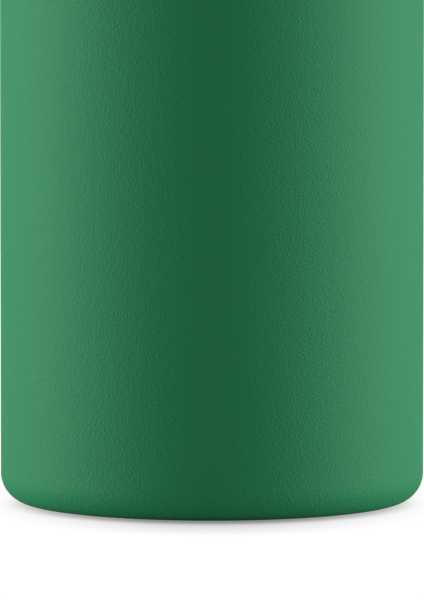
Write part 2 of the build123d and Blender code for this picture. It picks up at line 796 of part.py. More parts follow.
for name, piece in pieces.items():
    piece.part.label = name
    export_step(piece.part, f"parts/{name}.step")
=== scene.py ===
"""Vacuum flask: the looks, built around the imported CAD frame.

Metres, +Z up, and the flask's axis is the Z axis.
"""

import json
from math import ceil, cos, hypot, pi, radians, sin, tan

import bmesh
import bpy
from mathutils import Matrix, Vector


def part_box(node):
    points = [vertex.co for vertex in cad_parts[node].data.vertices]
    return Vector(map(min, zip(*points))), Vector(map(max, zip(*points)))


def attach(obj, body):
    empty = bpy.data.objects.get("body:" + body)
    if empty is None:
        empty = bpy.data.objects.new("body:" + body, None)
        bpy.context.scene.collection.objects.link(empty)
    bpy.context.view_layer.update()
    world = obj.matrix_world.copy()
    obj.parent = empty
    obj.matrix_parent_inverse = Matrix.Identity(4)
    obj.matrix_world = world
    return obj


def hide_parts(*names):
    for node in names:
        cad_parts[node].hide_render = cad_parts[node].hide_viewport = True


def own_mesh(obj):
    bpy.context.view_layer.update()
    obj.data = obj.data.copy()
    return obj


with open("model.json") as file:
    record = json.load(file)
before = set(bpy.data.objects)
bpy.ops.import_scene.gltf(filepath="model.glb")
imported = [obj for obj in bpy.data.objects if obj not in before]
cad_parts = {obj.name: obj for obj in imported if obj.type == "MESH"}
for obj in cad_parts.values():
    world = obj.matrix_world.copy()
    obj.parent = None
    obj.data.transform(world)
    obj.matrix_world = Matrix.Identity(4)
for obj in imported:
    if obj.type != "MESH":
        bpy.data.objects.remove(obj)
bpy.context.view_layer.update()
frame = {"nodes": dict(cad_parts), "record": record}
nodes = frame["nodes"]
record = frame["record"]
BODY_OF = {node: body for body, held in record["behaviour"]["bodies"].items() for node in held}
SLOT_OF = {part["node"]: part["material_slot"] for part in record["subparts"]}

MM = 0.001
SEGMENTS = 288  # round the axis, on every turned piece
ARC_STEP = radians(6)  # along a rounded corner
EDGE_LOOP = 0.25 * MM  # a ring this far from each corner keeps the flats' shading flat
SHARP_ANGLE = radians(40)
MITRE_LIMIT = 0.5  # at a sharp bend a sheet is no thicker than its wall over this
WIRE_SIDES = 20
NEARLY = 0.001 * MM  # a vertex this near a face is on it

# ---------------------------------------------------------------- sizes read from the frame


def radii(node, low=-1.0, high=1.0):
    """The least and the greatest distance from the axis of a CAD node's vertices between two heights."""
    found = [hypot(v.co.x, v.co.y) for v in nodes[node].data.vertices if low <= v.co.z <= high]
    return min(found), max(found)


def heights(node, inner, outer):
    """The lowest and the highest of a CAD node's vertices between two distances from the axis."""
    found = [v.co.z for v in nodes[node].data.vertices if inner <= hypot(v.co.x, v.co.y) <= outer]
    return min(found), max(found)


# ---------------------------------------------------------------- mesh helpers


def rounded(corners, closed=False):
    """Points along a half-section whose corners are (radius, height, rounding)."""
    count = len(corners)
    points = []
    for index, (radius, height, rounding) in enumerate(corners):
        corner = Vector((radius, height))
        if rounding == 0 or (not closed and index in (0, count - 1)):
            points.append(corner)
            continue
        before = (Vector(corners[index - 1][:2]) - corner).normalized()
        after = (Vector(corners[(index + 1) % count][:2]) - corner).normalized()
        turn = pi - before.angle(after)
        reach = rounding * tan(turn / 2)
        centre = corner + (before + after).normalized() * (rounding / cos(turn / 2))
        spoke = corner + before * reach - centre
        sense = -1 if before.cross(after) > 0 else 1
        steps = max(2, ceil(turn / ARC_STEP))
        for step in range(steps + 1):
            angle = sense * turn * step / steps
            turned = Vector(
                (
                    spoke.x * cos(angle) - spoke.y * sin(angle),
                    spoke.x * sin(angle) + spoke.y * cos(angle),
                )
            )
            points.append(centre + turned)
    return points


def with_edge_loops(points):
    """The same closed line with a point close to each end of every long run."""
    result = []
    for point, ahead in zip(points, points[1:] + points[:1]):
        result.append(point)
        run = ahead - point
        if run.length > 4 * EDGE_LOOP:
            step = run.normalized() * EDGE_LOOP
            result.append(point + step)
            result.append(point + run - step)
    return result


def sheet(corners, wall):
    """The closed outline of a sheet: a rounded line, and the same line moved to its left by the wall."""
    line = rounded(corners)
    back = []
    for index, point in enumerate(line):
        behind = line[max(index - 1, 0)]
        ahead = line[min(index + 1, len(line) - 1)]
        along_in = (point - behind).normalized() if point != behind else (ahead - point).normalized()
        along_out = (ahead - point).normalized() if point != ahead else along_in
        left = Vector((-(along_in.y + along_out.y), along_in.x + along_out.x)).normalized()
        mitre = max(left.dot(Vector((-along_in.y, along_in.x))), MITRE_LIMIT)
        back.append(point + left * (wall / mitre))
    return line + back[::-1]


def turn(mesh, outline, segments=SEGMENTS, displace=None):
    """Adds a closed outline turned round the axis.

    displace(radius, height, angle) gives each point's radius in place of its own.
    """
    rings = []
    for point in with_edge_loops(outline):
        if point.x < NEARLY:
            rings.append([mesh.verts.new((0, 0, point.y))])
            continue
        ring = []
        for index in range(segments):
            angle = 2 * pi * index / segments
            radius = displace(point.x, point.y, angle) if displace else point.x
            ring.append(mesh.verts.new((radius * cos(angle), radius * sin(angle), point.y)))
        rings.append(ring)
    for index, ring in enumerate(rings):
        other = rings[(index + 1) % len(rings)]
        if len(ring) == 1 and len(other) == 1:
            continue
        for k in range(segments):
            n = (k + 1) % segments
            if len(ring) == 1:
                mesh.faces.new((ring[0], other[n], other[k]))
            elif len(other) == 1:
                mesh.faces.new((ring[k], ring[n], other[0]))
            else:
                mesh.faces.new((ring[k], ring[n], other[n], other[k]))


def tube(mesh, path, wire):
    """Adds a round wire along a line of points, with flat ends."""
    rings = []
    for index, point in enumerate(path):
        ahead = path[min(index + 1, len(path) - 1)] - path[max(index - 1, 0)]
        outward = Vector((point.x, point.y, 0)).normalized()
        upward = ahead.cross(outward).normalized()
        outward = upward.cross(ahead).normalized()
        ring = []
        for side in range(WIRE_SIDES):
            angle = 2 * pi * side / WIRE_SIDES
            spoke = outward * cos(angle) + upward * sin(angle)
            ring.append(mesh.verts.new(point + spoke * (wire / 2)))
        rings.append(ring)
    for ring, other in zip(rings, rings[1:]):
        for k in range(WIRE_SIDES):
            n = (k + 1) % WIRE_SIDES
            mesh.faces.new((ring[k], ring[n], other[n], other[k]))
    mesh.faces.new(rings[0])
    mesh.faces.new(rings[-1][::-1])


def new_piece(name, mesh, node, material=None):
    """Makes an object of a mesh, with the body and the slot of the CAD node it stands for."""
    bmesh.ops.recalc_face_normals(mesh, faces=mesh.faces)
    data = bpy.data.meshes.new(name)
    mesh.to_mesh(data)
    mesh.free()
    data.shade_smooth()
    data.set_sharp_from_angle(angle=SHARP_ANGLE)
    piece = bpy.data.objects.new(name, data)
    bpy.context.scene.collection.objects.link(piece)
    data.materials.append(material or MATERIALS[SLOT_OF[node]])
    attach(piece, BODY_OF[node])
    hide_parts(node)
    return piece


def turned_piece(name, outline, node, segments=SEGMENTS, displace=None, material=None):
    """Turns an outline round the axis and makes a piece of it."""
    mesh = bmesh.new()
    turn(mesh, outline, segments, displace)
    return new_piece(name, mesh, node, material)


# ---------------------------------------------------------------- material helpers
HOLLOW = 0.3  # a noise's usual range
TOP = 0.7
LATTICE_TURNS = ((0.7, 0.4, 0.2), (-0.5, 0.9, 1.3))  # round x, y and z, in radians


def new_material(name):
    """An empty material, and its node tree's Principled shader."""
    material = bpy.data.materials.new(name)
    material.use_nodes = True
    return material, material.node_tree, material.node_tree.nodes["Principled BSDF"]


def set_inputs(tree, shader, inputs):
    """Sets each named socket to a number or a vector, or links it to a texture's output."""
    for name, value in inputs.items():
        if isinstance(value, (int, float, tuple)):
            shader.inputs[name].default_value = value
        else:
            tree.links.new(value, shader.inputs[name])


def place(tree, scale, turn=(0.0, 0.0, 0.0)):
    """Object coordinates, turned and then times a scale, per metre."""
    coordinates = tree.nodes.new("ShaderNodeTexCoord")
    mapping = tree.nodes.new("ShaderNodeMapping")
    mapping.inputs["Scale"].default_value = scale if isinstance(scale, tuple) else (scale, scale, scale)
    mapping.inputs["Rotation"].default_value = turn
    tree.links.new(coordinates.outputs["Object"], mapping.inputs["Vector"])
    return mapping.outputs["Vector"]


def axes(tree):
    """The object's own x, y and z, in metres."""
    coordinates = tree.nodes.new("ShaderNodeTexCoord")
    split = tree.nodes.new("ShaderNodeSeparateXYZ")
    tree.links.new(coordinates.outputs["Object"], split.inputs["Vector"])
    return split.outputs


def noise(tree, vector, detail=2.0, roughness=0.5):
    """A noise, which runs mostly between HOLLOW and TOP."""
    node = tree.nodes.new("ShaderNodeTexNoise")
    set_inputs(tree, node, {"Scale": 1.0, "Detail": detail, "Roughness": roughness, "Vector": vector})
    return node.outputs["Fac"]


def even_grain(tree, scale, detail):
    """Two noises on lattices turned apart, so that the grain looks the same from every side."""
    first, second = (noise(tree, place(tree, scale, turn), detail) for turn in LATTICE_TURNS)
    return math(tree, "MULTIPLY", math(tree, "ADD", first, second), 0.5)


def math(tree, operation, first, second=0.0):
    """The result of an operation on two values. Each is a number or an output."""
    node = tree.nodes.new("ShaderNodeMath")
    node.operation = operation
    for socket, value in zip(node.inputs, (first, second)):
        if isinstance(value, (int, float)):
            socket.default_value = value
        else:
            tree.links.new(value, socket)
    return node.outputs["Value"]


def remap(tree, value, low, high, from_low=HOLLOW, from_high=TOP):
    """The value carried over to another range, and kept inside it."""
    node = tree.nodes.new("ShaderNodeMapRange")
    ranges = {"From Min": from_low, "From Max": from_high, "To Min": low, "To Max": high}
    set_inputs(tree, node, {**ranges, "Value": value})
    return node.outputs["Result"]


def bump(tree, height, distance, under=None):
    """The normal over a relief. The relief may lie on another."""
    node = tree.nodes.new("ShaderNodeBump")
    set_inputs(tree, node, {"Distance": distance, "Height": height})
    if under:
        tree.links.new(under, node.inputs["Normal"])
    return node.outputs["Normal"]


def colour_mix(tree, factor):
    """A node that mixes two colours, and the sockets of both."""
    node = tree.nodes.new("ShaderNodeMix")
    node.data_type = "RGBA"
    tree.links.new(factor, node.inputs[0])
    return node, node.inputs[6], node.inputs[7]


def shade(tree, value, dark, light, from_low=HOLLOW, from_high=TOP):
    """The dark colour in a noise's hollows, and the light one on its tops."""
    node, first, second = colour_mix(tree, remap(tree, value, 0.0, 1.0, from_low, from_high))
    first.default_value = (*dark, 1)
    second.default_value = (*light, 1)
    return node.outputs[2]


def blend(tree, factor, first, second):
    """The first colour where the factor is 0, and the second where it is 1."""
    node, first_socket, second_socket = colour_mix(tree, factor)
    tree.links.new(first, first_socket)
    tree.links.new(second, second_socket)
    return node.outputs[2]


def blend_value(tree, factor, first, second):
    """The first value where the factor is 0, and the second where it is 1."""
    step = math(tree, "MULTIPLY", factor, math(tree, "SUBTRACT", second, first))
    return math(tree, "ADD", first, step)


def scaled(colour, factor):
    """The colour made darker or lighter."""
    return [part * factor for part in colour]


def turned_place(tree, across, along):
    """Coordinates that run fast across a turned surface's grain and slowly along it, per metre."""
    x, y, z = axes(tree)
    square = math(tree, "ADD", math(tree, "MULTIPLY", x, x), math(tree, "MULTIPLY", y, y))
    join = tree.nodes.new("ShaderNodeCombineXYZ")
    for name, fast, slow in (("X", math(tree, "SQRT", square), x), ("Y", z, y)):
        steep = math(tree, "MULTIPLY", fast, across)
        gentle = math(tree, "MULTIPLY", slow, along)
        tree.links.new(math(tree, "ADD", steep, gentle), join.inputs[name])
    return join.outputs["Vector"]


# ---------------------------------------------------------------- materials
# Scales are per metre. A pair of shades is a share of the colour in the grain's hollows and on its tops;
# on the powder coat that is painted shade in the hollows and painted light on the tops.
GREEN = (0.0105, 0.222, 0.078)
GRAIN_SCALE = 2700
GRAIN_DETAIL = 1.0
GRAIN_DEPTH = 0.21 * MM
PEEL_SCALE = 420
PEEL_DEPTH = 0.012 * MM
# painted shade in the coat's grain hollows and painted light on its tops
COAT_PAINTED_SHADE_AND_LIGHT = (0.94, 1.06)
COAT_ROUGHNESS = (0.64, 0.72)
COAT_IOR = 1.5
COAT_SPECULAR = 0.30

NECK_STEEL = (0.60, 0.60, 0.59)
NECK_STEEL_DARK = (0.54, 0.54, 0.53)
NECK_ROUGHNESS = (0.22, 0.34)
NECK_BRUSHING_DEPTH = 0.008 * MM

FINE_BRUSHING = (6000, 140)  # across the grain and along it
COARSE_BRUSHING = (2600, 60)
BRUSHING_NOISE = {"detail": 4.0, "roughness": 0.65}
STEEL_SHADE = 0.90
STEEL_WORN = 0.10  # how much rougher the grain's tops are
STEEL_PATCH_SCALE = 60
STEEL_PATCHES = 0.03
STEEL_ANISOTROPY = 0.55

CREASE_SCALE = (90, 90, 40)
# painted shade: the foil's colour darkened in its creases
COPPER_PAINTED_CREASE_SHADE = (0.80, 0.36, 0.22)
COPPER_SMOOTH = (0.93, 0.50, 0.34)
COPPER_ROUGHNESS = (0.16, 0.30)
COPPER_RELIEF = 0.25 * MM

SPARK_SCALE = 4200
SPARK_DEPTH = 0.012 * MM
PLASTIC_CLOUD_SCALE = 90
PLASTIC_SHADES = (0.90, 1.08)
PLASTIC_PATCHES = 0.06
PLASTIC_IOR = 1.49

SILICONE_CLOUD_SCALE = 250
SILICONE_SHADE = 0.93
DUST_SCALE = 2600
DUST_RANGE = (0.45, 0.75)  # of the dust's noise
DUST_ROUGHNESS = 0.18
SILICONE_IOR = 1.41
SILICONE_GLOW = 0.15
SILICONE_GLOW_DEPTH = 0.8 * MM
SILICONE_RELIEF = 0.02 * MM

CELL_SCALE = 1400
CELL_WALL_AT = 0.8
FOAM_LIGHT = (0.80, 0.79, 0.73)
FOAM_DARK = (0.62, 0.61, 0.56)
FOAM_ROUGHNESS = 0.85
CELL_DEPTH = 0.15 * MM

RIPPLE_SCALE = 600
GLASS_DARK = (0.36, 0.42, 0.40)
GLASS_LIGHT = (0.50, 0.55, 0.52)
GLASS_ROUGHNESS = 0.12
GLASS_IOR = 1.52
GLASS_CLEARNESS = 0.5
RIPPLE_DEPTH = 0.05 * MM

GRIT_SCALE = 3500
POWDER_DARK = (0.045, 0.045, 0.048)
POWDER_LIGHT = (0.13, 0.13, 0.135)
POWDER_METALLIC = 0.6
POWDER_ROUGHNESS = (0.5, 0.8)
GRIT_DEPTH = 0.06 * MM


def powder_coat(name, masked_above=None):
    """Matt powder coat: a fine, even grain with a faint orange peel under it, with painted shade
    darkening the grain's hollows and painted light on its tops.

    Above masked_above the piece was masked off when it was sprayed, and its brushed steel is bare.
    """
    material, tree, shader = new_material(name)
    grain = even_grain(tree, GRAIN_SCALE, GRAIN_DETAIL)
    peel = noise(tree, place(tree, PEEL_SCALE), detail=1.0)
    # the painted shade for the grain's hollows and the painted light for its tops
    dark, light = (scaled(GREEN, share) for share in COAT_PAINTED_SHADE_AND_LIGHT)
    coat_colour_with_painted_shade = shade(tree, grain, dark, light)
    gloss = remap(tree, grain, *COAT_ROUGHNESS)
    relief = math(tree, "MULTIPLY", grain, GRAIN_DEPTH)
    if masked_above is not None:
        bare = math(tree, "GREATER_THAN", axes(tree)["Z"], masked_above)
        brushing = noise(tree, turned_place(tree, *FINE_BRUSHING), **BRUSHING_NOISE)
        coat_colour_with_painted_shade = blend(tree, bare, coat_colour_with_painted_shade, shade(tree, brushing, NECK_STEEL_DARK, NECK_STEEL))
        gloss = blend_value(tree, bare, gloss, remap(tree, brushing, *NECK_ROUGHNESS))
        brushed = math(tree, "MULTIPLY", brushing, NECK_BRUSHING_DEPTH)
        relief = blend_value(tree, bare, relief, brushed)
        tree.links.new(bare, shader.inputs["Metallic"])
    coat = {
        "Base Color": coat_colour_with_painted_shade,
        "Roughness": gloss,
        "IOR": COAT_IOR,
        "Specular IOR Level": COAT_SPECULAR,
        "Normal": bump(tree, relief, 1.0, under=bump(tree, peel, PEEL_DEPTH)),
    }
    set_inputs(tree, shader, coat)
    return material


def brushed_steel(name, colour, roughness, depth, brushing=FINE_BRUSHING):
    """Steel with its grain running round the axis, as a lathe or a spinning brush leaves it."""
    material, tree, shader = new_material(name)
    grain = noise(tree, turned_place(tree, *brushing), **BRUSHING_NOISE)
    cloud = noise(tree, place(tree, STEEL_PATCH_SCALE))
    patches = remap(tree, cloud, roughness - STEEL_PATCHES, roughness + STEEL_PATCHES)
    tangent = tree.nodes.new("ShaderNodeTangent")
    tangent.direction_type = "RADIAL"
    tangent.axis = "Z"
    steel = {
        "Base Color": shade(tree, grain, scaled(colour, STEEL_SHADE), colour),
        "Roughness": math(tree, "ADD", remap(tree, grain, 0.0, STEEL_WORN), patches),
        "Metallic": 1.0,
        "Anisotropic": STEEL_ANISOTROPY,
        "Tangent": tangent.outputs["Tangent"],
        "Normal": bump(tree, grain, depth),
    }
    set_inputs(tree, shader, steel)
    return material


def copper():
    """Thin bright foil, lightly creased, with painted shade darkening the creases."""
    material, tree, shader = new_material("copper_foil")
    crease = noise(tree, place(tree, CREASE_SCALE), detail=6.0, roughness=0.6)
    foil = {
        # painted shade in the creases
        "Base Color": shade(tree, crease, COPPER_PAINTED_CREASE_SHADE, COPPER_SMOOTH),
        "Roughness": remap(tree, crease, *COPPER_ROUGHNESS),
        "Metallic": 1.0,
        "Normal": bump(tree, crease, COPPER_RELIEF),
    }
    set_inputs(tree, shader, foil)
    return material


def moulded_plastic(name, colour, roughness):
    """Injection-moulded plastic with a spark-eroded texture."""
    material, tree, shader = new_material(name)
    grain = noise(tree, place(tree, SPARK_SCALE), detail=3.0, roughness=0.6)
    cloud = noise(tree, place(tree, PLASTIC_CLOUD_SCALE))
    dark, light = (scaled(colour, share) for share in PLASTIC_SHADES)
    plastic = {
        "Base Color": shade(tree, cloud, dark, light),
        "Roughness": remap(tree, grain, roughness - PLASTIC_PATCHES, roughness + PLASTIC_PATCHES),
        "IOR": PLASTIC_IOR,
        "Normal": bump(tree, grain, SPARK_DEPTH),
    }
    set_inputs(tree, shader, plastic)
    return material


def silicone(name, colour, roughness):
    """Soft silicone: satin, a little light passing through it, and a trace of dust."""
    material, tree, shader = new_material(name)
    cloud = noise(tree, place(tree, SILICONE_CLOUD_SCALE), detail=3.0)
    dust = noise(tree, place(tree, DUST_SCALE), roughness=0.7)
    rubber = {
        "Base Color": shade(tree, cloud, scaled(colour, SILICONE_SHADE), colour),
        "Roughness": remap(tree, dust, roughness, roughness + DUST_ROUGHNESS, *DUST_RANGE),
        "IOR": SILICONE_IOR,
        "Subsurface Weight": SILICONE_GLOW,
        "Subsurface Radius": (1.0, 1.0, 1.0),
        "Subsurface Scale": SILICONE_GLOW_DEPTH,
        "Normal": bump(tree, cloud, SILICONE_RELIEF),
    }
    set_inputs(tree, shader, rubber)
    return material


def closed_cell_foam():
    """Pale foam: rounded cells, darker between them."""
    material, tree, shader = new_material("foam")
    cells = tree.nodes.new("ShaderNodeTexVoronoi")
    set_inputs(tree, cells, {"Scale": 1.0, "Vector": place(tree, CELL_SCALE)})
    depth = cells.outputs["Distance"]
    foam = {
        "Base Color": shade(tree, depth, FOAM_LIGHT, FOAM_DARK, 0.0, CELL_WALL_AT),
        "Roughness": FOAM_ROUGHNESS,
        "Normal": bump(tree, depth, -CELL_DEPTH),
    }
    set_inputs(tree, shader, foam)
    return material


def fused_glass():
    """A cloudy bead of solder glass."""
    material, tree, shader = new_material("glass_bead")
    ripple = noise(tree, place(tree, RIPPLE_SCALE))
    glass = {
        "Base Color": shade(tree, ripple, GLASS_DARK, GLASS_LIGHT),
        "Roughness": GLASS_ROUGHNESS,
        "IOR": GLASS_IOR,
        "Transmission Weight": GLASS_CLEARNESS,
        "Normal": bump(tree, ripple, RIPPLE_DEPTH),
    }
    set_inputs(tree, shader, glass)
    return material


def pressed_powder():
    """Dark metal powder pressed into a pellet."""
    material, tree, shader = new_material("getter_metal")
    grit = noise(tree, place(tree, GRIT_SCALE), detail=4.0, roughness=0.7)
    powder = {
        "Base Color": shade(tree, grit, POWDER_DARK, POWDER_LIGHT),
        "Roughness": remap(tree, grit, *POWDER_ROUGHNESS),
        "Metallic": POWDER_METALLIC,
        "Normal": bump(tree, grit, GRIT_DEPTH),
    }
    set_inputs(tree, shader, powder)
    return material


MATERIALS = {
    "green_powder_coat": powder_coat("green_powder_coat"),
    "vessel_steel": brushed_steel("vessel_steel", (0.60, 0.60, 0.59), 0.26, 0.006 * MM, COARSE_BRUSHING),
    "base_steel": brushed_steel("base_steel", (0.56, 0.56, 0.55), 0.32, 0.010 * MM),
    "trim_steel": brushed_steel("trim_steel", (0.64, 0.64, 0.63), 0.22, 0.008 * MM),
    "spring_steel": brushed_steel("spring_steel", (0.58, 0.58, 0.58), 0.18, 0.003 * MM),
    "copper_foil": copper(),
    "glass_bead": fused_glass(),
    "getter_metal": pressed_powder(),
    "foot_silicone": silicone("foot_silicone", (0.016, 0.020, 0.018), 0.48),
    "seal_silicone": silicone("seal_silicone", (0.62, 0.64, 0.61), 0.36),
    "dark_plastic": moulded_plastic("dark_plastic", (0.017, 0.022, 0.020), 0.46),
    "green_plastic": moulded_plastic("green_plastic", (0.014, 0.165, 0.070), 0.40),
    "foam": closed_cell_foam(),
}


def dress_cad_nodes():
    """Gives each CAD node its own slot's material."""
    for node, slot in SLOT_OF.items():
        data = nodes[node].data
        data.materials.clear()
        data.materials.append(MATERIALS[slot])


# ---------------------------------------------------------------- flask
# The places come from the frame. The sizes below are what its boxes don't tell.
FLANGE_HEIGHT = 5.0 * MM
FLANGE_BAND = 2.0 * MM  # the flange is straight this far below its edge
FLANGE_BEND = 1.0 * MM
SHOULDER_RADIUS = 14.0 * MM
SHOULDER_SLOPE = radians(28)
NECK_BAND = 2.0 * MM  # and the neck this far below its rim
NECK_BEND = 3.0 * MM


def flask_shell():
    """The painted shell: base flange, heel, barrel and shoulder, with a bare neck."""
    low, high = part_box("outer_shell")
    body_radius = high.x
    barrel_bottom, barrel_top = heights("outer_shell", body_radius - NEARLY, 1.0)
    heel_radius = barrel_bottom - low.z
    neck_inner, neck_radius = radii("outer_shell", high.z - NECK_BAND, high.z)
    wall = neck_radius - neck_inner
    flange_top = low.z + FLANGE_HEIGHT
    flange_radius = radii("outer_shell", flange_top - FLANGE_BAND, flange_top)[0]
    corner = barrel_top + SHOULDER_RADIUS * tan((pi / 2 - SHOULDER_SLOPE) / 2)
    neck_corner = corner + (body_radius - neck_radius) * tan(SHOULDER_SLOPE)
    outline = sheet(
        [
            (flange_radius, flange_top, 0),
            (flange_radius, low.z, FLANGE_BEND),
            (body_radius, low.z, heel_radius),
            (body_radius, corner, SHOULDER_RADIUS),
            (neck_radius, neck_corner, NECK_BEND),
            (neck_radius, high.z, 0),
        ],
        wall,
    )
    paint_edge = sum(v.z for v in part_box("trim_ring")) / 2  # the trim ring hides it
    coat = powder_coat("masked_powder_coat", masked_above=paint_edge)
    turned_piece("flask_shell", outline, "outer_shell", material=coat)


TRIM_GROOVE_SHARE = 0.36  # of the way up the band
TRIM_GROOVE_WIDTH = 0.44 * MM
TRIM_GROOVE_DEPTH = 0.16 * MM
TRIM_GROOVE_ROUND = 0.06 * MM
TRIM_BORE_ROUND = 0.1 * MM
TRIM_FOOT_ROUND = 0.25 * MM
TRIM_TOP_ROUND = 0.7 * MM
TRIM_INNER_TOP_ROUND = 0.15 * MM


def shoulder_trim():
    """The bright band that the cup closes down to, with a rounded edge and one turned groove."""
    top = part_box("trim_ring")[1].z
    bore, radius = radii("trim_ring")
    bore_foot = heights("trim_ring", bore - NEARLY, bore + NEARLY)[0]
    edge_foot = heights("trim_ring", radius - NEARLY, radius + NEARLY)[0]
    groove = edge_foot + TRIM_GROOVE_SHARE * (top - edge_foot)
    half = TRIM_GROOVE_WIDTH / 2
    groove_radius = radius - TRIM_GROOVE_DEPTH
    outline = rounded(
        [
            (bore, bore_foot, TRIM_BORE_ROUND),
            (radius, edge_foot, TRIM_FOOT_ROUND),
            (radius, groove - half, TRIM_GROOVE_ROUND),
            (groove_radius, groove - half / 2, TRIM_GROOVE_ROUND),
            (groove_radius, groove + half / 2, TRIM_GROOVE_ROUND),
            (radius, groove + half, TRIM_GROOVE_ROUND),
            (radius, top, TRIM_TOP_ROUND),
            (bore, top, TRIM_INNER_TOP_ROUND),
        ],
        closed=True,
    )
    turned_piece("shoulder_trim", outline, "trim_ring")


FOOT_WIDTH = 4.6 * MM
PLATE_WALL = 0.4 * MM
PLATE_BEND = 1.0 * MM
DISH_GAP = 0.5 * MM  # from the foot to the dish
DISH_RISE = 0.8 * MM
DISH_STEP = 1.0 * MM
DISH_BENDS = (0.6 * MM, 1.0 * MM)
PLATE_RINGS = (0.72, 0.36)  # of the dish's radius
RING_DEPTH = 0.35 * MM
RING_HALF_WIDTHS = (1.1 * MM, 0.5 * MM)  # at the dish and at the ring's bottom
RING_BENDS = (0.5 * MM, 0.35 * MM)


def base_plate():
    """The bare steel plate in the base: a turned-up rim, a dished middle and two pressed rings."""
    low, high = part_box("base_cover")
    dish_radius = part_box("foot_ring")[1].x - FOOT_WIDTH - DISH_GAP
    dish_z = low.z + DISH_RISE
    corners = [
        (high.x, high.z, 0),
        (high.x, low.z, PLATE_BEND),
        (dish_radius, low.z, DISH_BENDS[0]),
        (dish_radius - DISH_STEP, dish_z, DISH_BENDS[1]),
    ]
    wide, narrow = RING_HALF_WIDTHS
    top_bend, bottom_bend = RING_BENDS
    for share in PLATE_RINGS:
        radius = share * dish_radius
        corners += [
            (radius + wide, dish_z, top_bend),
            (radius + narrow, dish_z - RING_DEPTH, bottom_bend),
            (radius - narrow, dish_z - RING_DEPTH, bottom_bend),
            (radius - wide, dish_z, top_bend),
        ]
    corners.append((0, dish_z, 0))
    turned_piece("base_plate", sheet(corners, -PLATE_WALL), "base_cover")


SOLE_ROUND = 0.45 * MM
FOOT_TOP_ROUND = 0.3 * MM
SOLE_GROOVE_OFFSET = 0.7 * MM
SOLE_GROOVE_WIDTH = 0.5 * MM
SOLE_GROOVE_DEPTH = 0.3 * MM
SOLE_GROOVE_ROUND = 0.1 * MM


def foot():
    """The silicone ring underneath, with two grooves in its sole."""
    low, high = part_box("foot_ring")
    outer = high.x
    inner = outer - FOOT_WIDTH
    middle = (inner + outer) / 2
    groove_top = low.z + SOLE_GROOVE_DEPTH
    corners = [(inner, low.z, SOLE_ROUND)]
    for side in (-1, 1):
        groove = middle + side * SOLE_GROOVE_OFFSET
        left = groove - SOLE_GROOVE_WIDTH / 2
        right = groove + SOLE_GROOVE_WIDTH / 2
        corners += [
            (left, low.z, SOLE_GROOVE_ROUND),
            (left, groove_top, SOLE_GROOVE_ROUND),
            (right, groove_top, SOLE_GROOVE_ROUND),
            (right, low.z, SOLE_GROOVE_ROUND),
        ]
    corners += [
        (outer, low.z, SOLE_ROUND),
        (outer, high.z, FOOT_TOP_ROUND),
        (inner, high.z, FOOT_TOP_ROUND),
    ]
    turned_piece("foot", rounded(corners, closed=True), "foot_ring")


FOIL_THICKNESS = 0.1 * MM
FOIL_ROWS = 40
CREASE_DEPTH = 0.05 * MM
CREASE_WAVES = ((23, 40), (37, -65), (9, 110))  # round the axis, and per metre of height


def foil_wrap():
    """Copper foil round the vessel, with the fine vertical creases that wrapping leaves."""
    low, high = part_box("reflective_foil")
    middle = sum(radii("reflective_foil")) / 2
    rise = (high.z - low.z) / FOIL_ROWS
    levels = [low.z + rise * row for row in range(FOIL_ROWS + 1)]
    outside = [Vector((middle + FOIL_THICKNESS / 2, level)) for level in levels]
    inside = [Vector((middle - FOIL_THICKNESS / 2, level)) for level in levels]

    def crease(radius, height, angle):
        """The radius of a point once the foil is creased."""
        waves = [sin(around * angle + climb * height) for around, climb in CREASE_WAVES]
        broad, fine, patches = waves
        return radius + CREASE_DEPTH * (broad + fine * patches) / 2

    turned_piece("foil_wrap", outside + inside[::-1], "reflective_foil", displace=crease)


# ---------------------------------------------------------------- stopper
COVER_CLEARANCE = 0.4 * MM  # over the deck
COVER_WALL = 1.6 * MM
COVER_BORE_ROUND = 0.2 * MM
COVER_FOOT_ROUND = 0.45 * MM
COVER_TOP_ROUND = 2.0 * MM
COVER_INSIDE_ROUND = 0.8 * MM
WELL_CLEARANCE = 0.4 * MM
WELL_RIM = (  # out from the well, down from the top, and rounding
    (1.5 * MM, 0.0, 0.6 * MM),
    (0.9 * MM, 0.5 * MM, 0.6 * MM),
    (0.0, 0.7 * MM, 0.3 * MM),
)
FLUTES = 30
FLUTE_SEGMENTS = 22
FLUTE_ROW = 0.6 * MM
FLUTE_DEPTH = 0.75 * MM
FLUTE_HALF_WIDTH = 1.9 * MM
FLUTE_TOP_DROP = 3.2 * MM  # the flutes end this far below the cover's top
FLUTE_RUN_OUT = 1.6 * MM
UNFLUTED_WALL = 0.4 * MM


